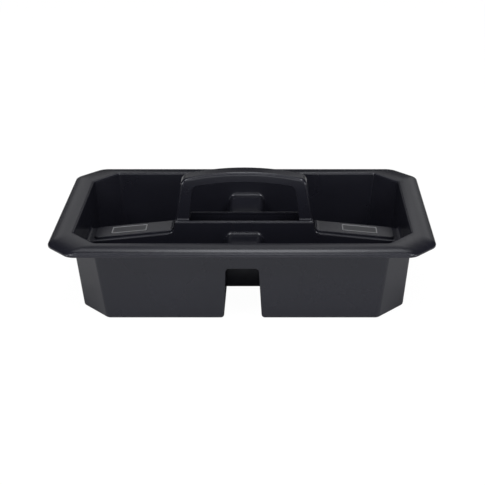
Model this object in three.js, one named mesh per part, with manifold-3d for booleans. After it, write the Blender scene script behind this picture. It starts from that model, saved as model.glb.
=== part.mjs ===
/**
 * Tool storage caddy, in millimetres, +Z up, with the origin at the middle of the base.
 *
 * An eight-sided tub with a rolled rim, a hollow saddle that runs the length of the tub and carries
 * an arched handle, and a finger tunnel at the middle of the front wall and of the back wall.
 * The saddle and the tunnels divide the tub into four compartments. Each wing of the saddle has a
 * raised panel, with a bare plate let into it.
 */
import * as THREE from 'three';
import { mergeVertices } from 'three/addons/utils/BufferGeometryUtils.js';
import Module from 'manifold-3d';

// Fits
const clearance = 0.3;
const overrun = 5;

// Tub
const baseLength = 362;
const baseWidth = 195.5;
const baseChamfer = 31;
const mouthChamfer = 29;
const tubDraft = THREE.MathUtils.degToRad(3.6);
const tubCornerRadius = 7;
const tubWall = 2.4;
const floorThickness = 2.5;
const baseEdgeRadius = 3;
const floorFilletRadius = 5;

// Rim
const rimHeight = 95;
const rimLength = 420;
const rimWidth = 248;
const rimChamfer = 26;
const rimCornerRadius = 14;
const rimLand = 6;
const rimNoseDrop = 5.8;
const lipDepth = 8;
const lipEdgeRadius = 1.2;
const mouthEdgeRadius = 1.5;
const rimRootRadius = 2;

// Finger tunnels
const tunnelWidth = 36;
const tunnelCeiling = 63.4;
const tunnelDraft = THREE.MathUtils.degToRad(2.6);
const tunnelTopRadius = 4.1;
const tunnelFootRadius = 6;

// Saddle
const saddleHeight = 81;
const saddleTopWidth = 30.4;
const saddleDraft = THREE.MathUtils.degToRad(3.4);
const saddleEdgeRadius = 2.5;
const saddleWall = 2.4;
const saddleHollowRadius = 1.1;
const plateauLength = 158.4;
const plateauEndRadius = 0.8;
const flankLean = THREE.MathUtils.degToRad(9.1);
const flareRadius = 9;
const slotLength = 126.8;
const slotWidth = 24.6;
const saddleEndSeat = 6;

// Wings of the saddle
const wingRootHeight = 68.1;
const wingSlope = THREE.MathUtils.degToRad(5.7);
const wingRootWidth = 36;
const wingEdgeRadius = 1.4;
const wingEndFilletRadius = 4.5;

// Raised panels on the wings
const panelStep = 2.2;
const panelWidth = 28.5;
const panelStart = 82;
const panelEnd = 174.1;
const panelCornerRadius = 5;

// Handle
const handleHeight = 139.1;
const handleThickness = 20;
const legSpread = plateauLength;
const legWidth = 15.8;
const legLean = flankLean;
const legInnerLean = THREE.MathUtils.degToRad(7.5);
const crownRadius = 300;
const gripDepth = 12.2;
const handleShoulderRadius = 10;
const handleOpeningRadius = 7;
const handleEdgeRadius = 2;
const handleWall = 2.8;
const spigotLength = 8;

// Plates on the panels
const plateLength = 41;
const plateWidth = 16.5;
const plateCornerRadius = 1.5;
const plateThickness = 1.3;
const plateProud = 0.5;
const plateBorder = 1.1;
const plateRecess = 0.4;
const plateCentre = 134;

// Smoothness of the arcs
const cornerSteps = 4;
const arcSteps = 6;
const crownSteps = 20;

const half = (size) => size / 2;

const wasm = await Module();
wasm.setup();

/** Turns a closed three.js geometry into a solid that can be joined and cut. */
function toSolid(geometry) {
  const bare = geometry.clone();
  bare.deleteAttribute('normal');
  bare.deleteAttribute('uv');
  const merged = mergeVertices(bare);
  return new wasm.Manifold(new wasm.Mesh({
    numProp: 3,
    vertProperties: new Float32Array(merged.attributes.position.array),
    triVerts: new Uint32Array(merged.index.array),
  }));
}

/** Turns a solid back into a three.js geometry. */
function toGeometry(solid) {
  const mesh = solid.getMesh();
  const geometry = new THREE.BufferGeometry();
  geometry.setAttribute('position', new THREE.BufferAttribute(mesh.vertProperties, 3));
  geometry.setIndex(new THREE.BufferAttribute(mesh.triVerts, 1));
  geometry.computeVertexNormals();
  return geometry;
}

/** A box between two corners. */
function block(low, high) {
  const box = new THREE.Box3(new THREE.Vector3(...low), new THREE.Vector3(...high));
  const size = box.getSize(new THREE.Vector3());
  const centre = box.getCenter(new THREE.Vector3());
  const geometry = new THREE.BoxGeometry(size.x, size.y, size.z);
  return toSolid(geometry.translate(centre.x, centre.y, centre.z));
}

/** A prism with its outline in the XZ plane, between two places along Y. */
function prismAlongY(shape, nearY, farY) {
  const geometry = new THREE.ExtrudeGeometry(shape, {
    depth: farY - nearY,
    bevelEnabled: false,
    curveSegments: arcSteps,
  });
  return toSolid(geometry.rotateX(Math.PI / 2).translate(0, farY, 0));
}

/** Skins a list of rings with equal point counts and closes the first and the last with a flat cap. */
function loft(rings) {
  const count = rings[0].length;
  const points = rings.flat();
  const triangles = [];
  for (let ring = 0; ring < rings.length - 1; ring += 1) {
    for (let index = 0; index < count; index += 1) {
      const next = (index + 1) % count;
      const low = ring * count;
      const high = low + count;
      triangles.push(low + index, low + next, high + next);
      triangles.push(low + index, high + next, high + index);
    }
  }
  const lastRing = (rings.length - 1) * count;
  for (let index = 1; index < count - 1; index += 1) {
    triangles.push(0, index + 1, index);
    triangles.push(lastRing, lastRing + index, lastRing + index + 1);
  }
  const geometry = new THREE.BufferGeometry().setFromPoints(points);
  geometry.setIndex(triangles);
  return geometry;
}

/** Points of an arc of an ellipse, from one angle to another. */
function arcPoints(centre, radii, fromAngle, toAngle, steps = arcSteps) {
  const points = [];
  for (let step = 0; step <= steps; step += 1) {
    const angle = THREE.MathUtils.lerp(fromAngle, toAngle, step / steps);
    const x = centre.x + radii.x * Math.cos(angle);
    const y = centre.y + radii.y * Math.sin(angle);
    points.push(new THREE.Vector2(x, y));
  }
  return points;
}

// Eight-sided outlines with cut corners, used for every level of the tub

const outlineCorners = [
  { x: 1, y: 1, onLongSide: false },
  { x: 1, y: 1, onLongSide: true },
  { x: -1, y: 1, onLongSide: true },
  { x: -1, y: 1, onLongSide: false },
  { x: -1, y: -1, onLongSide: false },
  { x: -1, y: -1, onLongSide: true },
  { x: 1, y: -1, onLongSide: true },
  { x: 1, y: -1, onLongSide: false },
];

/** Moves every side of an outline outwards by one distance. */
function growOutline(outline, distance) {
  return {
    length: outline.length + distance + distance,
    width: outline.width + distance + distance,
    chamfer: outline.chamfer + distance * (2 - Math.SQRT2),
    radius: Math.max(outline.radius + distance, 0),
  };
}

/** Blends two outlines by a share from 0 to 1. */
function mixOutlines(from, to, share) {
  return {
    length: THREE.MathUtils.lerp(from.length, to.length, share),
    width: THREE.MathUtils.lerp(from.width, to.width, share),
    chamfer: THREE.MathUtils.lerp(from.chamfer, to.chamfer, share),
    radius: THREE.MathUtils.lerp(from.radius, to.radius, share),
  };
}

/** The points of an outline at one height, with each of its eight corners rounded by an arc. */
function outlineRing(outline, height) {
  const core = growOutline({ ...outline, radius: 0 }, -outline.radius);
  const points = [];
  outlineCorners.forEach((corner, index) => {
    const centreX = corner.x * (half(core.length) - (corner.onLongSide ? core.chamfer : 0));
    const centreY = corner.y * (half(core.width) - (corner.onLongSide ? 0 : core.chamfer));
    for (let step = 0; step <= cornerSteps; step += 1) {
      const angle = (index + step / cornerSteps) * (Math.PI / 4);
      const x = centreX + outline.radius * Math.cos(angle);
      const y = centreY + outline.radius * Math.sin(angle);
      points.push(new THREE.Vector3(x, y, height));
    }
  });
  return points;
}

const baseOutline = {
  length: baseLength,
  width: baseWidth,
  chamfer: baseChamfer,
  radius: tubCornerRadius,
};
const draftGrowth = rimHeight * Math.tan(tubDraft);
const mouthOutline = {
  ...growOutline({ ...baseOutline, radius: 0 }, draftGrowth),
  chamfer: mouthChamfer,
  radius: tubCornerRadius,
};
const openingOutline = growOutline(mouthOutline, -tubWall);
const rimOutline = {
  length: rimLength,
  width: rimWidth,
  chamfer: rimChamfer,
  radius: rimCornerRadius,
};

/** The outside of the tub wall at a height, moved outwards by a distance. */
function tubOutline(height, distance = 0) {
  return growOutline(mixOutlines(baseOutline, mouthOutline, height / rimHeight), distance);
}

/** The width of the rim's flange at the two ends of the tub. */
const flangeWidth = half(rimOutline.length - openingOutline.length);

/** The rim's outline at a distance from the opening, measured across the flange at the tub's ends. */
function flangeOutline(distance) {
  return mixOutlines(openingOutline, rimOutline, distance / flangeWidth);
}

/** The rings of the tub's outside, from the underside of the base up to a height. */
function outsideRings(topHeight) {
  const rounding = arcPoints(
    new THREE.Vector2(-baseEdgeRadius, baseEdgeRadius),
    new THREE.Vector2(baseEdgeRadius, baseEdgeRadius),
    -Math.PI / 2,
    0,
  );
  const rings = rounding.map(({ x, y }) => outlineRing(tubOutline(y, x), y));
  rings.push(outlineRing(tubOutline(topHeight), topHeight));
  return rings;
}

/** The rings of the rim: out along its underside, round the lip and back over the top to the opening. */
function rimRings() {
  const noseCentre = new THREE.Vector2(rimLand, rimHeight - rimNoseDrop);
  const noseRadii = new THREE.Vector2(flangeWidth - rimLand, rimNoseDrop);
  const undersideRadii = new THREE.Vector2(noseRadii.x - tubWall, noseRadii.y - tubWall);
  const rootCentre = new THREE.Vector2(tubWall + rimRootRadius, rimHeight - tubWall - rimRootRadius);
  const rootRadii = new THREE.Vector2(rimRootRadius, rimRootRadius);
  const lipBottom = rimHeight - lipDepth;
  const lipCentre = new THREE.Vector2(flangeWidth - lipEdgeRadius, lipBottom + lipEdgeRadius);
  const lipRadii = new THREE.Vector2(lipEdgeRadius, lipEdgeRadius);
  const mouthCentre = new THREE.Vector2(mouthEdgeRadius, rimHeight - mouthEdgeRadius);
  const mouthRadii = new THREE.Vector2(mouthEdgeRadius, mouthEdgeRadius);
  const section = [
    ...arcPoints(rootCentre, rootRadii, Math.PI, Math.PI / 2),
    ...arcPoints(noseCentre, undersideRadii, Math.PI / 2, 0),
    new THREE.Vector2(flangeWidth - tubWall, lipBottom),
    ...arcPoints(lipCentre, lipRadii, -Math.PI / 2, 0),
    ...arcPoints(noseCentre, noseRadii, 0, Math.PI / 2, arcSteps + arcSteps),
    ...arcPoints(mouthCentre, mouthRadii, Math.PI / 2, Math.PI),
  ];
  return section.map(({ x, y }) => outlineRing(flangeOutline(x), y));
}

/** The rings of the tub's inside, from the wall down to the floor, moved inwards by a gap. */
function insideRings(gap) {
  const fillet = arcPoints(
    new THREE.Vector2(-floorFilletRadius, floorThickness + floorFilletRadius),
    new THREE.Vector2(floorFilletRadius, floorFilletRadius),
    0,
    -Math.PI / 2,
  );
  return fillet.map(({ x, y }) => outlineRing(tubOutline(y, x - tubWall - gap), y + gap));
}

/** The tub with its rolled rim, as one skin round its whole wall. */
function makeTub() {
  const wallTop = rimHeight - tubWall - rimRootRadius - overrun;
  return toSolid(loft([...outsideRings(wallTop), ...rimRings(), ...insideRings(0)]));
}

/** The space inside the tub, moved inwards by a gap, from the floor to past the rim. */
function makeTubSpace(gap) {
  const topHeight = rimHeight + overrun;
  const topRing = outlineRing(tubOutline(topHeight, -tubWall - gap), topHeight);
  return toSolid(loft([...insideRings(gap).reverse(), topRing]));
}

// Finger tunnels

/** The tunnel's section, moved outwards by a distance: rounded shoulders above and flared feet below. */
function tunnelShape(distance) {
  const ceiling = tunnelCeiling + distance;
  const topRadius = tunnelTopRadius + distance;
  const footRadius = tunnelFootRadius - distance;
  const sideAt = (height) => {
    const lean = (tunnelCeiling - height) * Math.tan(tunnelDraft);
    return half(tunnelWidth) + lean + distance / Math.cos(tunnelDraft);
  };
  const topCentreZ = ceiling - topRadius;
  const topTangentZ = topCentreZ + topRadius * Math.sin(tunnelDraft);
  const topCentreX = sideAt(topTangentZ) - topRadius * Math.cos(tunnelDraft);
  const footCentreZ = distance + footRadius;
  const footTangentZ = footCentreZ - footRadius * Math.sin(tunnelDraft);
  const footCentreX = sideAt(footTangentZ) + footRadius * Math.cos(tunnelDraft);
  const shape = new THREE.Shape();
  shape.moveTo(footCentreX, -overrun);
  shape.lineTo(footCentreX, distance);
  shape.absarc(footCentreX, footCentreZ, footRadius, -Math.PI / 2, -Math.PI + tunnelDraft, true);
  shape.absarc(topCentreX, topCentreZ, topRadius, tunnelDraft, Math.PI / 2, false);
  shape.absarc(-topCentreX, topCentreZ, topRadius, Math.PI / 2, Math.PI - tunnelDraft, false);
  shape.absarc(-footCentreX, footCentreZ, footRadius, -tunnelDraft, -Math.PI / 2, true);
  shape.lineTo(-footCentreX, -overrun);
  shape.closePath();
  return shape;
}

// Saddle

const tubInsideHalf = half(baseLength) - tubWall;

/** The place where two lines of the XZ plane cross, each given by a point and the angle of its run. */
function crossing(first, second) {
  const across = Math.sin(second.angle - first.angle);
  const offsetX = second.x - first.x;
  const offsetZ = second.z - first.z;
  const along = (offsetX * Math.sin(second.angle) - offsetZ * Math.cos(second.angle)) / across;
  return new THREE.Vector2(
    first.x + along * Math.cos(first.angle),
    first.z + along * Math.sin(first.angle),
  );
}

/** A line of the XZ plane, moved to its left by a distance. */
function shiftLine(line, distance) {
  return {
    x: line.x - distance * Math.sin(line.angle),
    z: line.z + distance * Math.cos(line.angle),
    angle: line.angle,
  };
}

/** Points of the arc that rounds the corner between two lines, which is convex or hollow. */
function roundCorner(first, second, radius, isHollow) {
  const side = isHollow ? radius : -radius;
  const centre = crossing(shiftLine(first, side), shiftLine(second, side));
  const quarter = isHollow ? -Math.PI / 2 : Math.PI / 2;
  const radii = new THREE.Vector2(radius, radius);
  return arcPoints(centre, radii, first.angle + quarter, second.angle + quarter);
}

/**
 * The saddle's top line from the middle to one end, moved outwards by a distance: the plateau, the
 * flank with its hollow flare, the sloping wing and the fillet that meets the tub's wall. The wing
 * alone can be raised by a step.
 */
function saddleTopLine(distance, step) {
  const plateau = shiftLine({ x: 0, z: saddleHeight, angle: 0 }, distance);
  const flankTop = { x: half(plateauLength), z: saddleHeight, angle: flankLean - Math.PI / 2 };
  const flank = shiftLine(flankTop, distance);
  const wingRoot = { x: half(plateauLength), z: wingRootHeight, angle: -wingSlope };
  const wing = shiftLine(wingRoot, distance + step);
  const plateauEnd = Math.max(plateauEndRadius + distance, saddleHollowRadius);
  const endX = tubInsideHalf + wingRootHeight * Math.tan(tubDraft);
  const wallLine = { x: endX, z: wingRootHeight, angle: Math.PI / 2 };
  return [
    new THREE.Vector2(0, plateau.z),
    ...roundCorner(plateau, flank, plateauEnd, false),
    ...roundCorner(flank, wing, flareRadius - distance, true),
    ...roundCorner(wing, wallLine, wingEndFilletRadius, true),
  ];
}

/** The saddle's solid outer form, moved outwards by a distance, with its wings raised by a step. */
function makeSaddleForm(distance, step = 0) {
  const halfLine = saddleTopLine(distance, step);
  const flareStart = half(plateauLength) - plateauEndRadius;
  const flareEnd = half(plateauLength) + flareRadius;
  const mirrored = halfLine.slice(1).reverse().map(({ x, y }) => new THREE.Vector2(-x, y));
  const side = distance / Math.cos(saddleDraft);
  const plateauFoot = half(saddleTopWidth) + saddleHeight * Math.tan(saddleDraft) + side;
  const wingFoot = half(wingRootWidth) + wingRootHeight * Math.tan(saddleDraft) + side;
  const rings = [...mirrored, ...halfLine].map((place) => {
    const share = THREE.MathUtils.smoothstep(Math.abs(place.x), flareStart, flareEnd);
    const foot = THREE.MathUtils.lerp(plateauFoot, wingFoot, share);
    const radius = THREE.MathUtils.lerp(saddleEdgeRadius, wingEdgeRadius, share) + distance;
    return saddleSection(place, foot, Math.max(radius, saddleHollowRadius));
  });
  return toSolid(loft(rings));
}

/** One cross-section of the saddle: drafted sides from below the base up to a rounded top. */
function saddleSection(place, foot, radius) {
  const centreZ = place.y - radius;
  const tangentZ = centreZ + radius * Math.sin(saddleDraft);
  const sideAt = (height) => foot - height * Math.tan(saddleDraft);
  const centreY = sideAt(tangentZ) - radius * Math.cos(saddleDraft);
  const radii = new THREE.Vector2(radius, radius);
  const right = new THREE.Vector2(centreY, centreZ);
  const left = new THREE.Vector2(-centreY, centreZ);
  const outline = [
    new THREE.Vector2(sideAt(-overrun), -overrun),
    ...arcPoints(right, radii, saddleDraft, Math.PI / 2),
    ...arcPoints(left, radii, Math.PI / 2, Math.PI - saddleDraft),
    new THREE.Vector2(-sideAt(-overrun), -overrun),
  ];
  return outline.map(({ x, y }) => new THREE.Vector3(place.x, x, y));
}

/** The panel on one wing, moved outwards by a distance: -1 is the left wing and 1 the right one. */
function makePanel(side, distance) {
  const length = panelEnd - panelStart + distance + distance;
  const width = panelWidth + distance + distance;
  const plan = roundedRectangle(length, width, panelCornerRadius + distance);
  const settings = { depth: saddleHeight, bevelEnabled: false, curveSegments: cornerSteps };
  const prism = new THREE.ExtrudeGeometry(plan, settings);
  prism.translate(side * half(panelStart + panelEnd), 0, 0);
  return makeSaddleForm(distance, panelStep).intersect(toSolid(prism));
}

/** The saddle's form with both panels, moved outwards by a distance. */
function makeHoodForm(distance) {
  return makeSaddleForm(distance).add(makePanel(-1, distance)).add(makePanel(1, distance));
}

/** Where the saddle's ends stand on the tub's floor instead of passing through it. */
const endSeatX = tubInsideHalf - saddleEndSeat;

/** The saddle: a hollow hood that is open below, with a slot in its top and a pocket in each panel. */
function makeSaddle() {
  const reach = half(rimWidth);
  const middle = block([-endSeatX, -reach, 0], [endSeatX, reach, rimHeight]);
  const hood = makeHoodForm(0).subtract(makeHoodForm(-saddleWall));
  const slot = block(
    [-half(slotLength), -half(slotWidth), saddleHeight - saddleWall - overrun],
    [half(slotLength), half(slotWidth), saddleHeight + overrun],
  );
  return hood
    .intersect(makeTubSpace(clearance).add(middle))
    .subtract(slot)
    .subtract(makeSpigots(clearance))
    .subtract(makePocket(-1))
    .subtract(makePocket(1));
}

/** The tub with the tunnels let into it and a window in its floor for the saddle. */
function makeTray() {
  const reach = half(rimWidth);
  const body = toSolid(loft(outsideRings(rimHeight - tubWall)));
  const saddleRoom = makeSaddleForm(clearance);
  const windowX = endSeatX + clearance;
  const window = saddleRoom.intersect(block([-windowX, -reach, -overrun], [windowX, reach, rimHeight]));
  const aboveFloor = block([-half(rimLength), -reach, floorThickness], [half(rimLength), reach, rimHeight]);
  const hoods = prismAlongY(tunnelShape(tubWall), -reach, reach);
  const insideHoods = hoods.intersect(body).subtract(saddleRoom.intersect(aboveFloor));
  const tunnels = prismAlongY(tunnelShape(0), -reach, reach);
  return makeTub().add(insideHoods).subtract(tunnels).subtract(window);
}

// Handle

const handleBottomZ = saddleHeight - spigotLength - overrun;

/** An outline of the arch: two leaning legs that pass the saddle's top at footX, shoulders and a crown. */
function archPoints(footX, lean, crown, shoulderRadius) {
  const crownCentre = new THREE.Vector2(0, handleHeight - crownRadius);
  const direction = new THREE.Vector2(-Math.sin(lean), Math.cos(lean));
  const inwards = new THREE.Vector2(-Math.cos(lean), -Math.sin(lean));
  const start = new THREE.Vector2(footX, saddleHeight).addScaledVector(inwards, shoulderRadius);
  const fromCrown = start.clone().sub(crownCentre);
  const along = fromCrown.dot(direction);
  const reachSquared = (crown - shoulderRadius) ** 2;
  const travel = Math.sqrt(along ** 2 - fromCrown.lengthSq() + reachSquared) - along;
  const centre = start.clone().addScaledVector(direction, travel);
  const crownAngle = centre.clone().sub(crownCentre).angle();
  const radii = new THREE.Vector2(shoulderRadius, shoulderRadius);
  const crownRadii = new THREE.Vector2(crown, crown);
  const bottomX = footX + (saddleHeight - handleBottomZ) * Math.tan(lean);
  const right = [
    new THREE.Vector2(bottomX, handleBottomZ),
    ...arcPoints(centre, radii, lean, crownAngle),
  ];
  const top = arcPoints(crownCentre, crownRadii, crownAngle, Math.PI - crownAngle, crownSteps);
  const left = right.map(({ x, y }) => new THREE.Vector2(-x, y)).reverse();
  return [...right, ...top.slice(1, -1), ...left];
}

/** The outside of the arch, moved inwards by a distance. */
function archOutside(distance) {
  const footX = half(legSpread) - distance / Math.cos(legLean);
  const crown = crownRadius - distance;
  return archPoints(footX, legLean, crown, handleShoulderRadius - distance);
}

/** The edge of the opening under the grip. */
function archInside() {
  const footX = half(legSpread) - legWidth;
  return archPoints(footX, legInnerLean, crownRadius - gripDepth, handleOpeningRadius);
}

/** A slab of the handle, centred on the XZ plane. */
function archSlab(points, thickness) {
  return prismAlongY(new THREE.Shape(points), -half(thickness), half(thickness));
}

/** The part of the handle's legs that stands inside the ends of the saddle's slot. */
function makeSpigots(gap) {
  const rabbet = half(handleWall);
  const reach = half(legSpread);
  const outside = archSlab(archOutside(rabbet - gap), handleThickness - handleWall + gap + gap);
  const topZ = saddleHeight + overrun;
  const bottomZ = saddleHeight - spigotLength;
  const levels = block([-reach, -reach, bottomZ], [reach, reach, topZ]);
  return outside.intersect(levels);
}

/** The handle: an arch with a U-shaped section that is open towards the hand. */
function makeHandle() {
  const ring = new THREE.Shape([...archOutside(0), ...archInside().reverse()]);
  const rounded = new THREE.ExtrudeGeometry(ring, {
    depth: handleThickness - handleEdgeRadius - handleEdgeRadius,
    bevelThickness: handleEdgeRadius,
    bevelSize: handleEdgeRadius,
    bevelOffset: -handleEdgeRadius,
    bevelSegments: cornerSteps,
  });
  rounded.rotateX(Math.PI / 2).translate(0, half(handleThickness) - handleEdgeRadius, 0);
  const reach = half(legSpread);
  const aboveSeat = block([-reach, -reach, saddleHeight + clearance], [reach, reach, handleHeight]);
  const arch = toSolid(rounded).intersect(aboveSeat);
  const channel = archSlab(archOutside(handleWall), handleThickness - handleWall - handleWall);
  const opening = archSlab(archInside(), handleThickness);
  const spigots = makeSpigots(0).subtract(opening);
  return arch.add(spigots).subtract(channel);
}

/** A rectangle with rounded corners, centred on the origin. */
function roundedRectangle(length, width, radius) {
  const shape = new THREE.Shape();
  const x = half(length) - radius;
  const y = half(width) - radius;
  shape.absarc(x, y, radius, 0, Math.PI / 2, false);
  shape.absarc(-x, y, radius, Math.PI / 2, Math.PI, false);
  shape.absarc(-x, -y, radius, Math.PI, Math.PI * 1.5, false);
  shape.absarc(x, -y, radius, Math.PI * 1.5, Math.PI * 2, false);
  shape.closePath();
  return shape;
}

/** A rounded slab between two heights over a panel's face. */
function plateSlab(margin, lowZ, highZ) {
  const length = plateLength + margin + margin;
  const width = plateWidth + margin + margin;
  const shape = roundedRectangle(length, width, plateCornerRadius);
  const settings = { depth: highZ - lowZ, bevelEnabled: false, curveSegments: cornerSteps };
  return toSolid(new THREE.ExtrudeGeometry(shape, settings).translate(0, 0, lowZ));
}

/** The frame of one panel's face at its plate: -1 is the left wing and 1 the right one. */
function panelFrame(side) {
  const run = plateCentre - half(plateauLength);
  const height = wingRootHeight + panelStep / Math.cos(wingSlope) - run * Math.tan(wingSlope);
  const frame = new THREE.Object3D();
  frame.position.set(side * plateCentre, 0, height);
  frame.rotation.y = side * wingSlope;
  frame.updateMatrix();
  return frame;
}

/** The recess that a plate lies in. */
function makePocket(side) {
  const floorZ = plateProud - plateThickness - clearance;
  return plateSlab(clearance, floorZ, overrun).transform(panelFrame(side).matrix.elements);
}

/** A bare plate: a flat panel inside a raised border. */
function makePlate() {
  const panel = plateSlab(0, plateProud - plateThickness, plateProud);
  const recess = plateSlab(-plateBorder, plateProud - plateRecess, plateProud + overrun);
  return panel.subtract(recess);
}

// Materials

const blackPlastic = { color: 0x303136, roughness: 0.55, metalness: 0 };
const plateGrey = { color: 0x7d7f83, roughness: 0.5, metalness: 0 };

/** A named mesh of a solid. */
function makeMesh(name, solid, finish) {
  const mesh = new THREE.Mesh(toGeometry(solid), new THREE.MeshStandardMaterial(finish));
  mesh.name = name;
  return mesh;
}

/** A plate on its panel. */
function placePlate(name, side) {
  const mesh = makeMesh(name, makePlate(), plateGrey);
  const frame = panelFrame(side);
  mesh.position.copy(frame.position);
  mesh.rotation.copy(frame.rotation);
  return mesh;
}

const caddy = new THREE.Group();
caddy.name = 'tool_storage_caddy';
caddy.add(makeMesh('tray', makeTray(), blackPlastic));
caddy.add(makeMesh('centre_saddle', makeSaddle(), blackPlastic));
caddy.add(makeMesh('carry_handle', makeHandle(), blackPlastic));
caddy.add(placePlate('label_plate_left', -1));
caddy.add(placePlate('label_plate_right', 1));

export default caddy;
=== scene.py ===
"""Tool storage caddy: an eight-sided moulded tub with a rolled rim, a hollow saddle and an arched handle.

Lengths are in metres, +Z is up and the origin is the middle of the base. The tub, the saddle and the
finger tunnels are moulded as one body here, so that their fillets run on, and are then parted again.
"""
import logging
import math
from collections.abc import Callable
from dataclasses import dataclass, replace
from enum import Enum

import bmesh
import bpy
from mathutils import Matrix, Vector


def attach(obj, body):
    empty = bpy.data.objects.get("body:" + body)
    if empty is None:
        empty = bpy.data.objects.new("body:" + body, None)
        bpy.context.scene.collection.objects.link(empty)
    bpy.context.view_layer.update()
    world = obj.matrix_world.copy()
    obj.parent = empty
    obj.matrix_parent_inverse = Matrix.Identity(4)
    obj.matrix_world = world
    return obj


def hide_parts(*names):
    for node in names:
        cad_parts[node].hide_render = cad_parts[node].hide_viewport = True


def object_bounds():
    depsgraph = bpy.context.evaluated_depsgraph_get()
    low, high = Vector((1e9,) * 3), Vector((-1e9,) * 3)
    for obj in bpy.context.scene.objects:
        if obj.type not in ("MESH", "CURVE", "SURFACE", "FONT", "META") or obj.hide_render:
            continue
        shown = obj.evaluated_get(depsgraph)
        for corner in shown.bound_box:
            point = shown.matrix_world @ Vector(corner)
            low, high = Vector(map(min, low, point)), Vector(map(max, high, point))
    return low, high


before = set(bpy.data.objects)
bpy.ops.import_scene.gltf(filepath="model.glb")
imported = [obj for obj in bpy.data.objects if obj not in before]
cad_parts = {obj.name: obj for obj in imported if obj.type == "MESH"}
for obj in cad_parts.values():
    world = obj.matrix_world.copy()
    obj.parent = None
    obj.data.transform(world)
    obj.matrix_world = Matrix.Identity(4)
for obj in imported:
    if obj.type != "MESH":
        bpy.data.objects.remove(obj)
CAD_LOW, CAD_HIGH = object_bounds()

log = logging.getLogger("caddy")

BODY = "root"
OVERRUN = 0.005
EIGHTH_TURN = math.pi / 4


class Combine(Enum):
    """The ways in which a solid changes another."""

    JOIN = "UNION"
    CUT = "DIFFERENCE"
    KEEP_SHARED = "INTERSECT"


def arc(centre: tuple[float, float], radii: tuple[float, float], start: float, end: float,
        steps: int) -> list[tuple[float, float]]:
    """Points on an arc of an ellipse.

    Args:
        centre: The ellipse's centre.
        radii: Its two half axes.
        start: The angle of the first point.
        end: The angle of the last point.
        steps: How many stretches the arc has.

    Returns:
        The points, from start to end.
    """
    angles = [start + (end - start) * step / steps for step in range(steps + 1)]
    return [(centre[0] + radii[0] * math.cos(a), centre[1] + radii[1] * math.sin(a)) for a in angles]


def smooth_share(value: float, start: float, end: float) -> float:
    """A smooth share from 0 at start to 1 at end."""
    share = min(max((value - start) / (end - start), 0.0), 1.0)
    return share * share * (3 - 2 * share)


def blend(first: float, second: float, share: float) -> float:
    """A value between two others."""
    return first + (second - first) * share


# Solids and the operators that shape them


def add_face(mesh: bmesh.types.BMesh, corners: list[Vector],
             rounding: dict[int, float] | None = None, segments: int = 6) -> bmesh.types.BMFace:
    """A flat face through its corners, with some of the corners rounded.

    Args:
        mesh: The mesh that takes the face.
        corners: The corners in order round the face.
        rounding: The distance from a corner at which its arc starts, by the corner's place in the list.
        segments: How many stretches each arc has.

    Returns:
        The face.
    """
    before = set(mesh.faces)
    ring = bmesh.ops.create_circle(mesh, cap_ends=True, segments=len(corners), radius=1.0)["verts"]
    for vertex, corner in zip(ring, corners):
        vertex.co = corner
    for reach in sorted(set((rounding or {}).values())):
        chosen = [ring[index] for index, size in rounding.items() if size == reach]
        bmesh.ops.bevel(mesh, geom=chosen, offset=reach, offset_type="OFFSET", segments=segments,
                        profile=0.5, affect="VERTICES", material=-1)
    return next(iter(set(mesh.faces) - before))


def turn_outwards(mesh: bmesh.types.BMesh) -> None:
    """Turns the faces of a closed solid outwards.

    Args:
        mesh: The solid's mesh.
    """
    bmesh.ops.recalc_face_normals(mesh, faces=mesh.faces)
    if mesh.calc_volume(signed=True) < 0:
        bmesh.ops.reverse_faces(mesh, faces=mesh.faces)


def skin_faces(mesh: bmesh.types.BMesh, faces: list[bmesh.types.BMFace]) -> None:
    """Skins a row of faces with equal corner counts into one closed solid.

    Args:
        mesh: The mesh that holds the faces.
        faces: The faces in order, of which the first and the last stay as the solid's ends.
    """
    loops = [list(face.edges) for face in faces]
    bmesh.ops.delete(mesh, geom=faces[1:-1], context="FACES_ONLY")
    for near, far in zip(loops, loops[1:]):
        bmesh.ops.bridge_loops(mesh, edges=near + far)
    turn_outwards(mesh)


def extrude_face(mesh: bmesh.types.BMesh, face: bmesh.types.BMFace, travel: Vector) -> None:
    """Draws a face out into a solid.

    Args:
        mesh: The mesh that holds the face.
        face: The face, which stays as the solid's near end.
        travel: How far and which way the far end goes.
    """
    made = bmesh.ops.extrude_face_region(mesh, geom=[face], use_keep_orig=True)["geom"]
    far = [item for item in made if isinstance(item, bmesh.types.BMVert)]
    bmesh.ops.translate(mesh, vec=travel, verts=far)
    turn_outwards(mesh)


def to_object(name: str, mesh: bmesh.types.BMesh) -> bpy.types.Object:
    """Puts a finished mesh into a new object of the scene.

    Args:
        name: The object's name.
        mesh: The mesh, which is freed.

    Returns:
        The object.
    """
    data = bpy.data.meshes.new(name)
    mesh.to_mesh(data)
    mesh.free()
    made = bpy.data.objects.new(name, data)
    bpy.context.scene.collection.objects.link(made)
    return made


def combine(target: bpy.types.Object, tool: bpy.types.Object, way: Combine, keep_tool: bool = False) -> None:
    """Joins a tool solid to a target, or cuts the target with it.

    Args:
        target: The solid that changes.
        tool: The solid that changes it.
        way: How the two are combined.
        keep_tool: Whether the tool stays for a later use.
    """
    modifier = target.modifiers.new("combine", "BOOLEAN")
    modifier.solver = "MANIFOLD"
    modifier.operation = way.value
    modifier.object = tool
    bpy.context.view_layer.update()
    graph = bpy.context.evaluated_depsgraph_get()
    data = bpy.data.meshes.new_from_object(target.evaluated_get(graph))
    data.materials.clear()
    target.modifiers.clear()
    target.data = data
    if not keep_tool:
        bpy.data.objects.remove(tool)


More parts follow.
